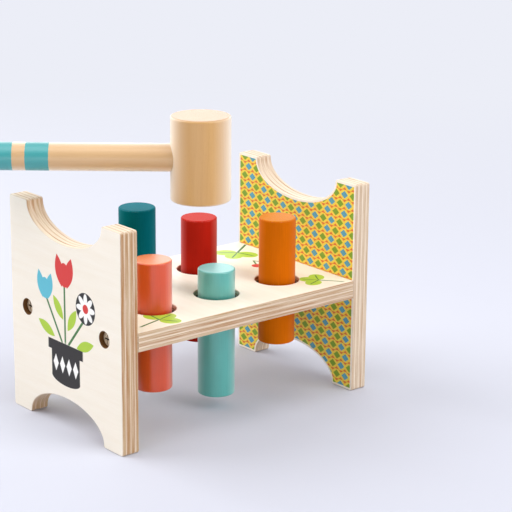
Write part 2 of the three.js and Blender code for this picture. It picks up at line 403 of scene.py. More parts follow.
def inside(kind, face, at, size, turn=0.0):
    """1 inside a printed shape, 0 outside it."""
    place = {"Vector": face, "Location": (*at, 0.0), "Scale": (size[0] / 2, size[1] / 2, 1.0)}
    place["Rotation"] = (0.0, 0.0, math.radians(turn))
    local = axes(follow("Mapping", place, vector_type="TEXTURE").outputs["Vector"])
    x, y = (sums("ABSOLUTE", local[axis]) for axis in "XY")
    if kind == "block":
        reach = sums("MAXIMUM", x, y)
    elif kind == "diamond":
        reach = sums("ADD", x, y)
    elif kind == "leaf":
        reach = sums("MULTIPLY_ADD", x, x, y)
    else:
        reach = off_axis(x, y)
    blur = INK_EDGE_MM / min(size)
    return remap(reach, 1.0 - blur, 1.0 + blur, 1.0, 0.0)


def stroke(start, end, width, ink):
    """A straight line of ink from one point to another."""
    run = Vector(end) - Vector(start)
    middle = (Vector(start) + Vector(end)) / 2
    return ("block", tuple(middle), (run.length, width), math.degrees(math.atan2(run.y, run.x)), ink)


def polar(u, v, reach, angle):
    """The point that lies so far off in a direction."""
    return (u + reach * math.cos(angle), v + reach * math.sin(angle))


print("shapes with a soft edge of", INK_EDGE_MM, "mm")

# %% Flowers for a plate
STEM_MM = 1.7
LEAF_MM = 6.5
INK_BLACK = tone(36, 34, 36)
INK_WHITE = tone(250, 248, 244)
INK_RED = tone(214, 54, 52)
INK_SKY = tone(92, 186, 206)
INK_LEAF = tone(172, 204, 60)
INK_DEEP_LEAF = tone(66, 118, 62)


def tulip(u, v, size, ink):
    """Two side petals that lean out, and one in front of them."""
    side = size * 0.3
    petal = (size * 1.2, size * 0.5)
    front = ("round", (u, v - size * 0.12), (size * 0.62, size * 0.9), 0, ink)
    return [("leaf", (u - side, v), petal, 104, ink), ("leaf", (u + side, v), petal, 76, ink), front]


def daisy(u, v, size, petal_count, petal_ink, eye_ink):
    """Petals set round an eye."""
    shapes = []
    for k in range(petal_count):
        angle = 2 * math.pi * k / petal_count
        at = polar(u, v, size * 0.29, angle)
        shapes.append(("round", at, (size * 0.42, size * 0.2), math.degrees(angle), petal_ink))
    shapes.append(("round", (u, v), (size * 0.3, size * 0.3), 0, eye_ink))
    return shapes


def potted_flowers():
    """A pot with three flowers, for the outer face of a plate, about the plate's middle."""
    stems = [((-3, -14), (-20, 12)), ((0, -14), (0, 26)), ((3, -14), (20, 6))]
    shapes = [stroke(foot, tip, STEM_MM, INK_DEEP_LEAF) for foot, tip in stems]
    shapes += [
        ("leaf", (-7, 8), (17, LEAF_MM), 128, INK_LEAF),
        ("leaf", (7.5, 3), (18, LEAF_MM), 58, INK_LEAF),
        ("leaf", (-20, -8), (19, LEAF_MM), 158, INK_LEAF),
        ("leaf", (21, -10), (19, LEAF_MM), 20, INK_LEAF),
        *tulip(0, 32, 17, INK_RED),
        *tulip(-21, 19, 15, INK_SKY),
        ("round", (22, 14), (20, 20), 0, INK_BLACK),
        *daisy(22, 14, 19, 8, INK_WHITE, INK_RED),
        ("block", (0, -17), (37, 6.5), 0, INK_BLACK),
        ("block", (0, -27), (30, 20), 0, INK_BLACK),
        ("round", (0, -36.5), (30, 9), 0, INK_BLACK),
    ]
    return shapes + [("diamond", (u, -28), (5.6, 11), 0, INK_WHITE) for u in (-10.5, -3.5, 3.5, 10.5)]


print(len(potted_flowers()), "shapes on the plate")

# %% Sprigs for the board


def sprig(u, v, size, turn):
    """Three round leaves with a vein each, on a short stalk."""
    heading = math.radians(turn)
    shapes = [stroke(polar(u, v, size * -0.75, heading), (u, v), size * 0.06, INK_DEEP_LEAF)]
    for lean in (-70, 0, 70):
        angle = heading + math.radians(lean)
        leaf = (size * 0.56, size * 0.46)
        shapes.append(("round", polar(u, v, size * 0.3, angle), leaf, math.degrees(angle), INK_LEAF))
        shapes.append(stroke((u, v), polar(u, v, size * 0.48, angle), size * 0.04, INK_DEEP_LEAF))
    return shapes


def berries(u, v, size):
    """Two berries on a forked stalk."""
    shapes = []
    for side, drop in ((-0.35, 0.0), (0.35, 0.1)):
        stalk = (u + size * side, v)
        shapes.append(stroke(stalk, (u, v + size * 0.7), size * 0.08, INK_DEEP_LEAF))
        shapes.append(("round", (stalk[0], v - size * drop), (size * 0.5, size * 0.5), 0, INK_RED))
    return shapes


def board_garland():
    """Sprigs and berries on the top of the board, clear of the holes."""
    front = sprig(-60, -45, 24, 15) + sprig(69, -43, 22, 130)
    back = sprig(68, 38, 27, 215) + sprig(-66, 36, 25, 320)
    return front + back + berries(64, 6, 15) + berries(0, 42, 13)


print(len(board_garland()), "shapes on the board")

# %% [markdown]
# The inner faces of the plates have an all-over print on a yellow ground. A harlequin lattice suits it: the
# face is divided into cells, every other row moves half a cell along, and each cell holds a diamond that is
# blue or green by turns, with a little orange in its corners. A narrow border stays bare, because a printer
# keeps clear of a routed edge.

# %% Harlequin print
CELL_MM = (8.0, 6.4)
PRINT_BORDER_MM = 1.6
DIAMOND_EDGE = (0.43, 0.39)
CORNER_EDGE = (0.70, 0.74)
GROUND_YELLOW = tone(238, 209, 74)
DIAMOND_BLUE = tone(86, 158, 180)
DIAMOND_GREEN = tone(124, 160, 42)
CORNER_ORANGE = tone(222, 118, 48)


def harlequin(face):
    """The lattice's colour at a point of the face."""
    spot = axes(face)
    row = sums("DIVIDE", spot["Y"], CELL_MM[1])
    shift = times(sums("FLOORED_MODULO", sums("FLOOR", row), 2.0), 0.5)
    column = sums("ADD", sums("DIVIDE", spot["X"], CELL_MM[0]), shift)
    off_middle = [sums("SUBTRACT", sums("FRACT", v), 0.5) for v in (column, row)]
    reach = sums("ADD", *(sums("ABSOLUTE", v) for v in off_middle))
    by_turns = sums("FLOORED_MODULO", sums("FLOOR", column), 2.0)
    diamond = blend(by_turns, DIAMOND_BLUE, DIAMOND_GREEN)
    colour = blend(remap(reach, *DIAMOND_EDGE), GROUND_YELLOW, diamond)
    return blend(remap(reach, *CORNER_EDGE), colour, CORNER_ORANGE)


print("harlequin cells of", CELL_MM, "mm")

# %% [markdown]
# A piece of plywood now needs three things: where its middle is, how it was turned before it was built in,
# and what is printed on which face. Its Object coordinates, moved to the sheet's own axes with X along the
# grain, tell the group above where it is. A print is laid over the veneer and lets a little grain through.

# %% Plywood with its prints
PRINT_COVER = 0.985
PLYWOOD_GLOSS = 0.2
PLYWOOD_RELIEF = 0.25 * MM
FACE_LIMIT = (0.97, 0.99)
NO_TURN = (0.0, 0.0, 0.0)


def own_axes(shader, centre=Vector(), turn=NO_TURN):
    """Object coordinates in millimetres about a piece's middle, and its normals, turned to its own axes."""
    coords = add(shader.id_data, "ShaderNodeTexCoord").outputs
    offset = Euler(turn).to_matrix() @ centre / -MM
    shift = {"Vector": coords["Object"], "Location": offset, "Rotation": turn, "Scale": (1 / MM,) * 3}
    swing = {"Vector": coords["Normal"], "Rotation": turn}
    place = follow("Mapping", shift).outputs["Vector"]
    return place, follow("Mapping", swing, vector_type="VECTOR").outputs["Vector"]


def plywood_finish(name, centre, turn, tan, cut_from):
    """Bare plywood: its material, shader, place, normals and colour, ready for a print."""
    material, shader = new_finish(name, Specular_IOR_Level=PLYWOOD_GLOSS)
    place, facing = own_axes(shader, centre, turn)
    sheet = {"Place": place, "Facing": facing, "Tan": tan, "Cut From": cut_from}
    wood = follow("Group", sheet, node_tree=birch).outputs
    wire(shader, "Roughness", wood["Roughness"])
    relief(shader, wood["Height"], PLYWOOD_RELIEF)
    return material, shader, place, facing, wood["Colour"]


def on_side(facing, sign):
    """1 on the face that looks along the sheet's Z, or against it where the sign is negative."""
    return remap(times(axes(facing)["Z"], sign), *FACE_LIMIT)


def print_shapes(wood, face, shapes, side):
    """Lays a list of shapes over the wood, one after the other."""
    colour = wood
    for kind, at, size, turn, ink in shapes:
        colour = blend(inside(kind, face, at, size, turn), colour, ink)
    return blend(times(side, PRINT_COVER), wood, colour)


print("plywood prints ready")

# %% [markdown]
# A plate is a flat outline with a thickness and softly rounded edges, sawn from a sheet and run past a
# router. A flat curve does all of that: its points are the outline, Extrude is half the thickness, and Bevel
# rounds both edges, with an inward Offset so that the outline stays true. The outline is made of arcs: a
# small one at each corner and half an ellipse for each scallop, and one half turned round gives the other.

# %% Outline of a plate
PRONG_WIDTH = 19.5 * MM
SCALLOP_DEPTH = 20 * MM
CORNER_RADIUS = 1.6 * MM
EDGE_EASE = 0.6 * MM
CORNER_STEPS = 10
SCALLOP_STEPS = 90
EDGE_STEPS = 6

plate_size = left_box[1] - left_box[0]


def arc(x, y, radius_x, radius_y, start, end, steps):
    """Points of an elliptical arc, with angles in quarter turns and both ends among them."""
    angles = [math.radians(90 * (start + (end - start) * k / steps)) for k in range(steps + 1)]
    return [(x + radius_x * math.cos(a), y + radius_y * math.sin(a)) for a in angles]


def plate_outline():
    """Foot, arch and foot along the bottom, then the same turned round for the top."""
    edge = plate_size.y / 2
    notch = edge - PRONG_WIDTH
    r = CORNER_RADIUS
    base = r - plate_size.z / 2

    def foot(start, end):
        outer = arc(start + r, base, r, r, 2, 3, CORNER_STEPS)
        return outer + arc(end - r, base, r, r, 3, 4, CORNER_STEPS)

    arch = arc(0, base, notch, SCALLOP_DEPTH - r, 2, 0, SCALLOP_STEPS)[1:-1]
    half = foot(-edge, -notch) + arch + foot(notch, edge)
    return half + [(-x, -y) for x, y in half]


def poly_curve(name, points, closed):
    """A curve through the given points of a plane."""
    curve = bpy.data.curves.new(name, "CURVE")
    spline = curve.splines.new("POLY")
    spline.points.add(len(points) - 1)
    for point, (x, y) in zip(spline.points, points):
        point.co = (x, y, 0.0, 1.0)
    spline.use_cyclic_u = closed
    return curve


print("plate outline of", len(plate_outline()), "points")

# %% [markdown]
# Curves, cutters and modifiers are means to an end: each finished piece is a plain mesh at the origin. These
# helpers bake an object into such a mesh, cut one with another, and tidy the result. The tidy joins what is
# flat into one face, points every face outwards, and weights the normals by area, so that flat faces stay
# flat right up to their rounded edges.

# %% Mesh helpers
WELD = 2e-6
FLAT_ANGLE = math.radians(0.2)
SHARP_ANGLE = math.radians(50)


def baked(piece):
    """The plain mesh object that an object and its modifiers make, in its place."""
    name = piece.name
    depsgraph = bpy.context.evaluated_depsgraph_get()
    shape = piece.evaluated_get(depsgraph)
    mesh = bpy.data.meshes.new_from_object(shape, preserve_all_data_layers=True, depsgraph=depsgraph)
    bpy.data.objects.remove(piece)
    mesh.name = name
    return link(name, mesh)


def tidy(piece, material):
    """Welds, flattens and shades a mesh, keeps its cut corners sharp, and gives it its material."""
    work = bmesh.new()
    work.from_mesh(piece.data)
    bmesh.ops.remove_doubles(work, verts=work.verts, dist=WELD)
    bmesh.ops.dissolve_limit(work, angle_limit=FLAT_ANGLE, verts=work.verts, edges=work.edges)
    bmesh.ops.recalc_face_normals(work, faces=work.faces)
    for face in work.faces:
        face.smooth = True
    for edge in work.edges:
        edge.smooth = edge.calc_face_angle(0.0) < SHARP_ANGLE
    work.to_mesh(piece.data)
    work.free()
    piece.data.materials.clear()
    piece.data.materials.append(material)
    flat_faces = piece.modifiers.new("flat_faces_stay_flat", "WEIGHTED_NORMAL")
    flat_faces.keep_sharp = True
    return baked(piece)


print("corners over", round(math.degrees(SHARP_ANGLE)), "degrees stay sharp")

# %% Cuts, slabs and dress


def cut(piece, cutter):
    """Cuts one object's shape out of another and takes the cutter away."""
    saw = piece.modifiers.new("cut", "BOOLEAN")
    saw.object = cutter
    saw.operation = "DIFFERENCE"
    saw.solver = "EXACT"
    done = baked(piece)
    bpy.data.objects.remove(cutter)
    return done


def slab(name, outline, thickness, ease=0.0):
    """A flat outline with a thickness and rounded edges, centred on its plane."""
    curve = poly_curve(name, outline, closed=True)
    curve.dimensions = "2D"
    curve.fill_mode = "BOTH"
    curve.extrude = thickness / 2 - ease
    curve.bevel_depth = ease
    curve.bevel_resolution = EDGE_STEPS
    curve.offset = -ease
    return baked(link(name, curve))


def dress(piece, body, slot, *nodes):
    """Says which body carries a piece and which nodes it stands for; the finish slot is not used."""
    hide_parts(*nodes)
    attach(piece, body)
    print(piece.name, "has", len(piece.data.polygons), "faces")


print("slabs have", EDGE_STEPS, "steps round an edge")

# %% [markdown]
# Pegs, rings, screws, mallet and the holes themselves are all turned work: a profile spun round an axis. One
# Geometry Nodes tree does them all. Curve to Mesh sweeps the profile round a circle, which is the same as
# spinning it, Merge by Distance closes the poles, and Instance on Points sets a copy at each place. Realize
# Instances and Set Material at the end leave a plain mesh. The profile's X is counted from the circle.

# %% Tree for turned work


def turned_tree():
    tree = bpy.data.node_groups.new("turned_work", "GeometryNodeTree")
    tree.is_modifier = True
    tree.interface.new_socket("Geometry", in_out="OUTPUT", socket_type="NodeSocketGeometry")
    sockets = {"Profile": "Geometry", "Reach": "Float", "Sides": "Int", "Places": "Object"}
    sockets |= {"Turn": "Rotation", "Material": "Material"}
    for title, kind in sockets.items():
        tree.interface.new_socket(title, in_out="INPUT", socket_type="NodeSocket" + kind)
    entry = add(tree, "NodeGroupInput").outputs

    def step(kind, output, inputs):
        return add(tree, "GeometryNode" + kind, inputs).outputs[output]

    circle = step("CurvePrimitiveCircle", "Curve", {"Resolution": entry["Sides"], "Radius": entry["Reach"]})
    spun = step("CurveToMesh", "Mesh", {"Curve": circle, "Profile Curve": entry["Profile"]})
    merged = step("MergeByDistance", "Geometry", {"Geometry": spun, "Distance": WELD})
    markers = step("ObjectInfo", "Geometry", {"Object": entry["Places"]})
    points = step("MeshToPoints", "Points", {"Mesh": markers})
    copies = {"Points": points, "Instance": merged, "Rotation": entry["Turn"]}
    real = step("RealizeInstances", "Geometry", {"Geometry": step("InstanceOnPoints", "Instances", copies)})
    done = step("SetMaterial", "Geometry", {"Geometry": real, "Material": entry["Material"]})
    add(tree, "NodeGroupOutput", {"Geometry": done})
    return tree


turning = turned_tree()
print("turned work tree with", len(turning.nodes), "nodes")

# %% Turning a piece
DOWEL_STEPS = 8


def turned(name, profile, sides, places, material, turn=NO_TURN, closed=False):
    """Spins a profile of (radius, height) points and sets a copy at each place."""
    reach = max(radius for radius, _ in profile)
    points = [(radius - reach, -height) for radius, height in profile]
    piece = link(name, poly_curve(name, points, closed))
    marker_mesh = bpy.data.meshes.new("places")
    marker_mesh.from_pydata(places, [], [])
    markers = link("places", marker_mesh)
    lathe = piece.modifiers.new("turned_work", "NODES")
    lathe.node_group = turning
    inputs = {"Reach": reach, "Sides": sides, "Places": markers, "Turn": turn, "Material": material}
    for item in turning.interface.items_tree:
        if item.in_out == "INPUT" and item.name in inputs:
            lathe[item.identifier] = inputs[item.name]
    done = baked(piece)
    bpy.data.objects.remove(markers)
    return tidy(done, material)


def dowel_profile(radius, length, ease):
    """Half the section of a plain bar with rounded ends, from the foot up."""
    lower = arc(radius - ease, ease, ease, ease, 3, 4, DOWEL_STEPS)
    upper = arc(radius - ease, length - ease, ease, ease, 0, 1, DOWEL_STEPS)
    return [(0.0, 0.0), *lower, *upper, (0.0, length)]


print("dowels have", DOWEL_STEPS, "steps at each rounded end")

# %% [markdown]
# Each plate is screwed to the end of the board, with the heads sunk in counterbores of its outer face. The
# cutter for a counterbore is turned work too, and the wood in it is dark brown, partly drill burn and partly
# painted shade in the recess. The left plate has its picture outside, and both plates have the harlequin
# print inside. The plate's own axes are the world's in another order: X along the grain, which runs from
# front to back, Y up and Z through the sheet.

# %% Finish of the plates
SCREW_SPREAD = 82 * MM
COUNTERBORE_RADIUS = 5.1 * MM
PLATE_TAN = {"left": 0.15, "right": -0.38}
PLATE_CUT_FROM = {"left": (311.0, 47.0, 21.0), "right": (96.0, 205.0, 54.0)}
BORE_BURN_AND_SHADE = tone(112, 76, 40)
BORE_DARK_RIM_MM = 0.25
PLATE_STAND = Matrix(((0, 0, 1), (1, 0, 0), (0, 1, 0))).to_4x4()


def flat_face(place, left_axis, up_axis):
    """Across and up on a printed face, in millimetres, from the axes that point left and up on it."""
    spot = axes(place)
    flat = {"X": times(spot[left_axis], -1.0), "Y": spot[up_axis]}
    return follow("CombineXYZ", flat).outputs["Vector"]


def harlequin_area(face):
    """1 where the inner print lies: the whole face but a bare border."""
    border = 2 * PRINT_BORDER_MM
    area = inside("block", face, (0, 0), (plate_size.y / MM - border, plate_size.z / MM - border))
    width = (plate_size.y - 2 * PRONG_WIDTH) / MM + border
    height = 2 * (SCALLOP_DEPTH - CORNER_RADIUS) / MM + border
    middle = (plate_size.z / 2 - CORNER_RADIUS) / MM
    for end in (-1, 1):
        scallop = inside("round", face, (0, end * middle), (width, height))
        area = times(area, sums("SUBTRACT", 1.0, scallop))
    return area


def bores_burnt_and_shaded(face, wood):
    """The wood, dark brown in and just round the two counterbores: partly drill burn, partly painted shade.
    """
    across = 2 * (COUNTERBORE_RADIUS / MM + BORE_DARK_RIM_MM)
    for end in (-1, 1):
        bore = inside("round", face, (end * SCREW_SPREAD / MM / 2, 0), (across, across))
        wood = blend(bore, wood, BORE_BURN_AND_SHADE)
    return wood


def plate_finish(side, centre, outward, has_picture):
    turn = tuple(PLATE_STAND.inverted().to_euler())
    wood = plywood_finish(side + "_plywood", centre, turn, PLATE_TAN[side], PLATE_CUT_FROM[side])
    material, shader, place, facing, colour = wood
    face = flat_face(place, "X", "Y")
    inner = on_side(facing, -outward)
    # In and round the counterbores the colour is partly drill burn and partly painted shade.
    colour = blend(sums("SUBTRACT", 1.0, inner), colour, bores_burnt_and_shaded(face, colour))
    area = times(harlequin_area(face), inner)
    colour = blend(times(area, PRINT_COVER), colour, harlequin(face))
    if has_picture:
        colour = print_shapes(colour, face, potted_flowers(), on_side(facing, outward))
    wire(shader, "Base Color", colour)
    return material


print("counterbores", SCREW_SPREAD / MM, "mm apart")

# %% End plates
COUNTERBORE_DEPTH = 5 * MM
ROUND_SIDES = 96

screw_rows = [bench_middle.y - SCREW_SPREAD / 2, bench_middle.y + SCREW_SPREAD / 2]
board_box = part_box("bench_board")
board_middle = (board_box[0] + board_box[1]) / 2


def stand(piece, centre):
    """Turns a flat piece so that it faces along X, and moves it to its place."""
    piece.data.transform(Matrix.Translation(centre) @ PLATE_STAND)
    return piece


def end_plate(side, box, outward, has_picture):
    """A plate whose outer face looks along X, or against it where outward is negative."""
    centre = (box[0] + box[1]) / 2
    plate = stand(slab(side + "_plywood_plate", plate_outline(), plate_size.x, EDGE_EASE), centre)
    outer_x = centre.x + outward * plate_size.x / 2
    wide, deep = COUNTERBORE_RADIUS, COUNTERBORE_DEPTH
    bore = [(0.0, -deep), (wide, -deep), (wide, deep), (0.0, deep)]
    places = [(outer_x, y, board_middle.z) for y in screw_rows]
    finish = plate_finish(side, centre, outward, has_picture)
    drill = turned("drill", bore, ROUND_SIDES, places, finish, turn=(0.0, math.pi / 2, 0.0))
    dress(tidy(cut(plate, drill), finish), "bench", "plywood", side + "_end_plate")


end_plate("left", left_box, -1, has_picture=True)
end_plate("right", right_box, 1, has_picture=False)

# %% [markdown]
# The board is the same plywood laid flat, with its grain across the bench. Its long edges are rounded and its
# ends are square, because they butt against the plates. The five holes are wider than the pegs, their rims
# are eased, and a groove half way down takes the rubber ring. All five are one cutter from the turned work.

# %% Bench board
HOLE_PLAY = 2.4 * MM
HOLE_EASE = 0.8 * MM
RING_HEIGHT = 4 * MM
RING_BITE = 1.9 * MM
GROOVE_GAP = 0.3 * MM
BOARD_TURN = (0.0, 0.0, -math.pi / 2)
BOARD_TAN = -0.1
BOARD_CUT_FROM = (520.0, 130.0, 83.0)
PEG_COLOURS = ("coral", "mint", "orange", "dark_teal", "red")

peg_boxes = {colour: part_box("peg_" + colour) for colour in PEG_COLOURS}
peg_places = {colour: (low + high) / 2 for colour, (low, high) in peg_boxes.items()}
peg_radius = (peg_boxes["coral"][1] - peg_boxes["coral"][0]).x / 2
hole_radius = peg_radius + HOLE_PLAY
hole_places = [(p.x, p.y, board_middle.z) for p in peg_places.values()]


def hole_profile(half, over):
    """Half the section of a hole: eased rims above and below, and the ring's groove between."""
    groove = RING_HEIGHT / 2 + GROOVE_GAP
    rim = arc(hole_radius + HOLE_EASE, half - HOLE_EASE, HOLE_EASE, HOLE_EASE, 2, 1, EDGE_STEPS)
    wide = hole_radius + RING_BITE + GROOVE_GAP
    lip = hole_radius + HOLE_EASE + over
    upper = [(wide, groove), (hole_radius, groove), *rim, (lip, half), (lip, half + over), (0.0, half + over)]
    return [(radius, -height) for radius, height in reversed(upper)] + upper


def board_section(size, ease):
    """The board's section across its length, with all four long edges rounded."""
    y, z = size.y / 2 - ease, size.z / 2 - ease
    corners = [(y, z, 0), (-y, z, 1), (-y, -z, 2), (y, -z, 3)]
    return [p for cy, cz, q in corners for p in arc(cy, cz, ease, ease, q, q + 1, EDGE_STEPS)]


def board_finish():
    wood = plywood_finish("board_plywood", board_middle, BOARD_TURN, BOARD_TAN, BOARD_CUT_FROM)
    material, shader, place, facing, colour = wood
    face = flat_face(place, "Y", "X")
    wire(shader, "Base Color", print_shapes(colour, face, board_garland(), on_side(facing, 1)))
    return material


def bench_board():
    size = board_box[1] - board_box[0]
    finish = board_finish()
    board = stand(slab("plywood_board", board_section(size, EDGE_EASE), size.x), board_middle)
    drill = turned("drill", hole_profile(size.z / 2, HOLE_EASE), ROUND_SIDES, hole_places, finish)
    dress(tidy(cut(board, drill), finish), "bench", "plywood", "bench_board")


bench_board()

# %% [markdown]
# The pegs are turned from hardwood and dipped in satin paint. Paint on wood is never quite even: the grain
# stands up in faint lines along the peg, the coat is a little thicker here and there, and it thins on the
# rounded rims. Where a flank is seen flat, its colour is painted paler: a painted sheen. The tops of coral,
# mint and orange are painted paler than their sides, a painted highlight for the light from above, and the
# smooth ones mirror the backdrop.

# %% Paint
# Each top colour that is paler than its side is a painted highlight for the light from above; each paint's
# last number is how pale a painted sheen makes its flanks.
PAINTS = {
    "coral": {"side": tone(217, 72, 14), "top": tone(217, 109, 12), "gloss": 0.9, "flank_sheen": 0.22},
    "mint": {"side": tone(80, 172, 164), "top": tone(106, 192, 186), "gloss": 1.0, "flank_sheen": 0.25},
    "orange": {"side": tone(207, 103, 6), "top": tone(200, 118, 4), "gloss": 0.014, "flank_sheen": 0.03},
    "dark_teal": {"side": tone(6, 109, 122), "top": tone(6, 109, 122), "gloss": 0.004, "flank_sheen": 0.02},
    "red": {"side": tone(184, 35, 22), "top": tone(184, 35, 22), "gloss": 0.01, "flank_sheen": 0.1},
}
PAINT_ROUGHNESS = 0.3
COAT_RANGE = (0.35, 0.65)
COAT_DEEPER = 0.14
RIM_START = (0.2, 0.6)
RIM_END = (0.98, 0.75)
RIM_WEAR = (0.4, 0.75)
RIM_SHARE = 0.7
RIM_PALER = 0.12
FLANK_SHEEN_VIEW = (0.25, 0.85)
FLANK_SHEEN_RANGE = (0.5, 0.0)
TOP_RANGE = (0.6, 0.95)
GRAIN_RELIEF = 0.12 * MM
GRAIN_STRENGTH = 0.6
BLACK = tone(0, 0, 0)
WHITE = tone(255, 255, 255)


def toward(colour, goal, share):
    """A colour moved some of the way to another."""
    return tuple(a + (b - a) * share for a, b in zip(colour, goal))


def painted_grazing_sheen(shader, low, high, most=1.0):
    """A painted sheen: a share that rises to the most where a surface is seen from a lower and lower angle.
    """
    facing = add(shader.id_data, "ShaderNodeLayerWeight", {"Blend": 0.5}).outputs["Facing"]
    return remap(facing, low, high, 0.0, most)


def peg_paint(name, side, top, gloss, flank_sheen):
    """Paint with its side colour, a paler top colour that is a painted highlight, its gloss, and how pale a
    painted sheen makes the flanks.
    """
    material, shader = new_finish(name, Roughness=PAINT_ROUGHNESS, Specular_IOR_Level=gloss)
    place, facing = own_axes(shader)
    upright = sums("ABSOLUTE", axes(facing)["Z"])
    grain = noise(place, (1.6, 1.6, 0.05), detail=4.0)
    cloud = noise(place, (0.09, 0.09, 0.05), detail=2.0)
    coat = remap(between(0.5, grain, cloud), *COAT_RANGE)
    painted = blend(coat, side, toward(side, BLACK, COAT_DEEPER))
    rim = times(remap(upright, *RIM_START), remap(upright, *RIM_END))
    thin = times(rim, remap(noise(place, (0.8, 0.8, 0.8)), *RIM_WEAR))
    painted = blend(times(thin, RIM_SHARE), painted, toward(side, WHITE, RIM_PALER))
    # Painted sheen: the flanks are painted paler where they are seen flat.
    sheen_on_flanks = times(painted_grazing_sheen(shader, *FLANK_SHEEN_VIEW), remap(upright, *FLANK_SHEEN_RANGE))
    painted = blend(sheen_on_flanks, painted, toward(side, WHITE, flank_sheen))
    # Painted highlight: the tops take the paler top colour, for the light that falls on them.
    wire(shader, "Base Color", blend(remap(upright, *TOP_RANGE), painted, top))
    relief(shader, grain, GRAIN_RELIEF, strength=GRAIN_STRENGTH)
    return material


print("paint in", len(PAINTS), "colours")

# %% Painted pegs
PEG_EASE = 1.0 * MM


def peg(colour):
    low, high = peg_boxes[colour]
    foot = (peg_places[colour].x, peg_places[colour].y, low.z)
    finish = peg_paint("paint_" + colour, **PAINTS[colour])
    profile = dowel_profile(peg_radius, high.z - low.z, PEG_EASE)
    piece = turned("painted_peg_" + colour, profile, ROUND_SIDES, [foot], finish)
    dress(piece, colour + "_peg", "paint_" + colour, "peg_" + colour)


for colour in PEG_COLOURS:
    peg(colour)

# %% [markdown]
# The grip rings are soft black rubber, oval in section, and show only as a dark line deep in the gap round
# each peg. They never move against the board, so all five are one mesh that rides on the bench.

# %% Grip rings
GRIP_GAP = 0.3 * MM
RING_SECTION_STEPS = 16
RUBBER_BLACK = tone(24, 24, 25)
RUBBER_BLOOM = tone(48, 47, 46)
RUBBER_ROUGHNESS = 0.82
RUBBER_RELIEF = 0.05 * MM


def rubber():
    material, shader = new_finish("grip_rubber", Roughness=RUBBER_ROUGHNESS)
    place = own_axes(shader)[0]
    bloom = noise(place, (0.7, 0.7, 0.7))
    wire(shader, "Base Color", blend(bloom, RUBBER_BLACK, RUBBER_BLOOM))
    relief(shader, noise(place, (3.0, 3.0, 3.0)), RUBBER_RELIEF)
    return material


def grip_rings():
    inner = peg_radius + GRIP_GAP
    half = (hole_radius + RING_BITE - inner) / 2
    section = arc(inner + half, 0, half, RING_HEIGHT / 2, 0, 4, RING_SECTION_STEPS)[:-1]
    rings = turned("grip_rings", section, ROUND_SIDES, hole_places, rubber(), closed=True)
    dress(rings, "bench", "grip_rubber", *("grip_ring_" + colour for colour in PEG_COLOURS))


grip_rings()

# %% [markdown]
# The screws have a pale bronze plating, with a low domed head and a cross recess. The recess is a plus-shaped
# slab cut out of the turned head, and its plating is painted near black: a painted shade. Each plate has two,
# at the same places that its counterbores were cut for. The depth below the top of the head tells the finish
# where to paint that shade.

# %% Bronze plating
PLATING_PALE = tone(236, 218, 190)
PLATING_DULL = tone(198, 168, 130)
RECESS_PAINTED_SHADE = tone(26, 20, 14)
RECESS_REACH_MM = (3.3, 3.0)
RECESS_BELOW_MM = (0.45, 0.9)
PATINA_RANGE = (0.35, 0.7)
PLATING_METAL = 0.45
PLATING_ROUGHNESS = (0.32, 0.5)
PLATING_RELIEF = 0.03 * MM


def bronze(side, top_x, outward):
    """Bronze plating for the screws of one plate, whose heads reach out to the given X, with painted shade in
    the cross recess.
    """
    material, shader = new_finish(side + "_bronze", Metallic=PLATING_METAL)
    place = own_axes(shader, Vector((top_x, bench_middle.y, board_middle.z)))[0]
    spot = axes(place)
    off_row = sums("SUBTRACT", sums("ABSOLUTE", spot["Y"]), SCREW_SPREAD / MM / 2)
    near_axis = remap(off_axis(off_row, spot["Z"]), *RECESS_REACH_MM)
    below_top = remap(times(spot["X"], -outward), *RECESS_BELOW_MM)
    patina = noise(place, (0.9, 0.9, 0.9), detail=4.0)
    colour = blend(remap(patina, *PATINA_RANGE), PLATING_PALE, PLATING_DULL)
    # The cross recess is painted near black: a painted shade, not a colour of the plating.
    wire(shader, "Base Color", blend(times(near_axis, below_top), colour, RECESS_PAINTED_SHADE))
    wire(shader, "Roughness", remap(patina, 0.3, 0.7, *PLATING_ROUGHNESS))
    relief(shader, noise(place, (4.0, 4.0, 4.0)), PLATING_RELIEF)
    return material


# The painted shade in the recess starts this far below the top of a head.
print("plating is dark", RECESS_BELOW_MM[1], "mm below the top of a head")

# %% Screws
SCREW_LENGTH = 30 * MM
SCREW_SHANK = 4.6 * MM
SCREW_POINT = 5 * MM
SCREW_HEAD = 9.2 * MM
SCREW_HEAD_HEIGHT = 2.6 * MM
SCREW_HEAD_DOME = 0.9 * MM
SCREW_SEAT_GAP = 0.3 * MM
CROSS_SPAN = 5.8 * MM
CROSS_WIDTH = 1.2 * MM
CROSS_TAPER = 0.85
CROSS_DEPTH = 1.6 * MM
DOME_STEPS = 10
SCREW_SIDES = 48


def screw_profile():
    """Point, shank and domed head, with the seat of the head at height 0."""
    head = SCREW_HEAD / 2
    rim = SCREW_HEAD_HEIGHT - SCREW_HEAD_DOME
    shank = SCREW_SHANK / 2
    points = [(0.0, -SCREW_LENGTH), (shank, SCREW_POINT - SCREW_LENGTH), (shank, 0.0), (head, 0.0)]
    return points + arc(0, rim, head, SCREW_HEAD_DOME, 0, 1, DOME_STEPS)


def cross_outline():
    """A plus whose four arms taper a little towards their ends."""
    far, near = CROSS_SPAN / 2, CROSS_WIDTH / 2
    tip = near * CROSS_TAPER
    quarter = [(far, -tip), (far, tip), (near, near)]
    swings = [Matrix.Rotation(turn * math.pi / 2, 2) for turn in range(4)]
    return [tuple(swing @ Vector(p)) for swing in swings for p in quarter]


def cross_cutter(place, outward):
    """A plus-shaped slab at the top of a screw's head."""
    top = Vector(place) + Vector((outward * SCREW_HEAD_HEIGHT, 0.0, 0.0))
    return stand(slab("cross", cross_outline(), 2 * CROSS_DEPTH), top)


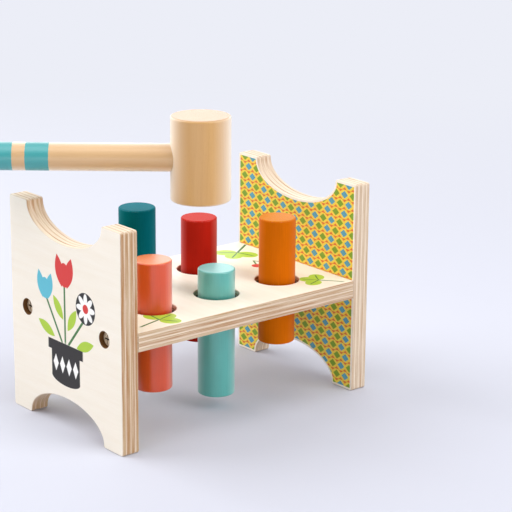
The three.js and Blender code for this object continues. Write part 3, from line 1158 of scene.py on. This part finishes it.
def screws(side, box, outward):
    outer_x = box[1].x if outward > 0 else box[0].x
    seat_x = outer_x - outward * (COUNTERBORE_DEPTH - SCREW_SEAT_GAP)
    places = [(seat_x, y, board_middle.z) for y in screw_rows]
    finish = bronze(side, seat_x + outward * SCREW_HEAD_HEIGHT, outward)
    turn = (0.0, outward * math.pi / 2, 0.0)
    pair = turned(side + "_screws", screw_profile(), SCREW_SIDES, places, finish, turn=turn)
    for place in places:
        pair = cut(pair, cross_cutter(place, outward))
    dress(tidy(pair, finish), "bench", "screw_bronze", f"screw_{side}_front", f"screw_{side}_back")


screws("left", left_box, -1)
screws("right", right_box, 1)

# %% [markdown]
# The mallet is turned from pale beech. Beech is known by its short dark flecks along the grain and by faint
# growth rings, so the finish has both: rings about a pith outside the piece, and thin dashes stretched along
# the axis. Where the wood is seen flat, Layer Weight paints its colour paler, a painted sheen added to the
# shader's own sheen, and hands wear the handle paler all over. The handle also has a painted band and a
# dipped end, as steps along its own axis.

# %% Turned beech
BEECH_PALE = tone(206, 160, 98)
BEECH_WARM = tone(192, 143, 82)
BEECH_FLECK = tone(172, 124, 70)
# A pale colour for the painted sheen on flanks seen flat, and for the handle's wear.
BEECH_SHEEN_AND_WEAR = tone(246, 233, 214)
BAND_TEAL = tone(66, 158, 160)
PITH_MM = (38.0, 21.0)
RING_PITCH_MM = 2.6
RING_WANDER_MM = 6.0
LATE_WOOD = 0.18
FLECK_RANGE = (0.62, 0.74)
FLECK_SHARE = 0.3
END_GRAIN_SHARE = 0.6
SHEEN_VIEW_RANGE = (0.1, 0.75)
SHEEN_SHARE = 0.82
BAND_RAGGED_MM = 0.5
BAND_BLUR_MM = 0.1
BEECH_GLOSS = {"Roughness": 0.36, "Specular_IOR_Level": 0.6, "Sheen_Weight": 0.4, "Sheen_Roughness": 0.4}


def beech_finish(name, centre, turn=NO_TURN, worn=0.0, bands=()):
    """Turned beech with its axis along Z of its own frame, and bands of paint from one height to another."""
    material, shader = new_finish(name, **BEECH_GLOSS)
    place, facing = own_axes(shader, centre, turn)
    spot = axes(place)
    from_pith = [sums("ADD", spot[axis], offset) for axis, offset in zip("XY", PITH_MM)]
    wander = noise(place, (0.08, 0.08, 0.012), detail=2.0)
    radius = sums("MULTIPLY_ADD", wander, RING_WANDER_MM, off_axis(*from_pith))
    late = sums("POWER", sums("FRACT", sums("DIVIDE", radius, RING_PITCH_MM)), 3.0)
    broad = noise(place, (0.12, 0.12, 0.015))
    shade = sums("MULTIPLY_ADD", late, LATE_WOOD, remap(broad, 0.3, 0.75, 0.1, 0.6))
    colour = blend(shade, BEECH_PALE, BEECH_WARM)
    fleck = remap(noise(place, (2.4, 2.4, 0.3), detail=2.0), *FLECK_RANGE)
    colour = blend(times(fleck, FLECK_SHARE), colour, BEECH_FLECK)
    end_grain = remap(sums("ABSOLUTE", axes(facing)["Z"]), *TOP_RANGE)
    colour = blend(times(end_grain, END_GRAIN_SHARE), colour, BEECH_FLECK)
    # Painted sheen: where the wood is seen flat it is painted paler, except on the end grain.
    painted_sheen = times(painted_grazing_sheen(shader, *SHEEN_VIEW_RANGE, SHEEN_SHARE), sums("SUBTRACT", 1.0, end_grain))
    colour = blend(sums("MAXIMUM", painted_sheen, worn), colour, BEECH_SHEEN_AND_WEAR)
    ragged = noise(place, (1.2, 1.2, 0.2), detail=2.0)
    height = sums("MULTIPLY_ADD", ragged, BAND_RAGGED_MM, spot["Z"])
    for start, end in bands:
        below = remap(height, start - BAND_BLUR_MM, start + BAND_BLUR_MM)
        above = remap(height, end + BAND_BLUR_MM, end - BAND_BLUR_MM)
        colour = blend(times(below, above), colour, BAND_TEAL)
    wire(shader, "Base Color", colour)
    relief(shader, noise(place, (2.0, 2.0, 0.12), detail=4.0), GRAIN_RELIEF, strength=GRAIN_STRENGTH)
    return material


print("beech with rings every", RING_PITCH_MM, "mm")

# %% [markdown]
# The head stands upright, and the handle lies level in a hole bored to past its middle. The handle is turned
# along Z like the rest and then laid down along its heading, so that one rule serves every turned piece.

# %% Mallet
HEAD_EASE = 1.4 * MM
HANDLE_EASE = 3 * MM
HANDLE_SEAT = 25 * MM
HANDLE_REACH = 153 * MM
HANDLE_TURN = math.radians(180 - 39.7)
HANDLE_GAP = 0.2 * MM
HANDLE_WORN = 0.17
BAND_FROM_HEAD_MM = (92.1, 106.4)
DIP_FROM_HEAD_MM = 114.3
PAST_BUTT_MM = 1.0
HEAD_SIDES = 128

head_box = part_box("mallet_head")
handle_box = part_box("mallet_handle")
head_middle = (head_box[0] + head_box[1]) / 2
head_radius = (head_box[1].x - head_box[0].x) / 2
handle_radius = (handle_box[1].z - handle_box[0].z) / 2
handle_axis = Vector((math.cos(HANDLE_TURN), math.sin(HANDLE_TURN), 0.0))
lay_down = (0.0, math.pi / 2, HANDLE_TURN)


def handle_bar(name, radius, finish):
    """A bar from its seat in the head out to the butt."""
    profile = dowel_profile(radius, HANDLE_SEAT + HANDLE_REACH, HANDLE_EASE)
    start = head_middle + handle_axis * (head_radius - HANDLE_SEAT)
    start.z = (handle_box[0].z + handle_box[1].z) / 2
    return turned(name, profile, ROUND_SIDES, [tuple(start)], finish, turn=lay_down)


def mallet():
    head_finish = beech_finish("turned_beech", head_middle)
    profile = dowel_profile(head_radius, head_box[1].z - head_box[0].z, HEAD_EASE)
    foot = (head_middle.x, head_middle.y, head_box[0].z)
    head = turned("beech_mallet_head", profile, HEAD_SIDES, [foot], head_finish)
    head = tidy(cut(head, handle_bar("bore", handle_radius + HANDLE_GAP, head_finish)), head_finish)
    dress(head, "mallet", "turned_wood", "mallet_head")
    own_turn = Euler(lay_down).to_matrix().inverted().to_euler()
    bands = [BAND_FROM_HEAD_MM, (DIP_FROM_HEAD_MM, (head_radius + HANDLE_REACH) / MM + PAST_BUTT_MM)]
    handle_finish = beech_finish("banded_beech", head_middle, tuple(own_turn), HANDLE_WORN, bands)
    handle = handle_bar("banded_mallet_handle", handle_radius, handle_finish)
    dress(handle, "mallet", "turned_wood", "mallet_handle")


mallet()
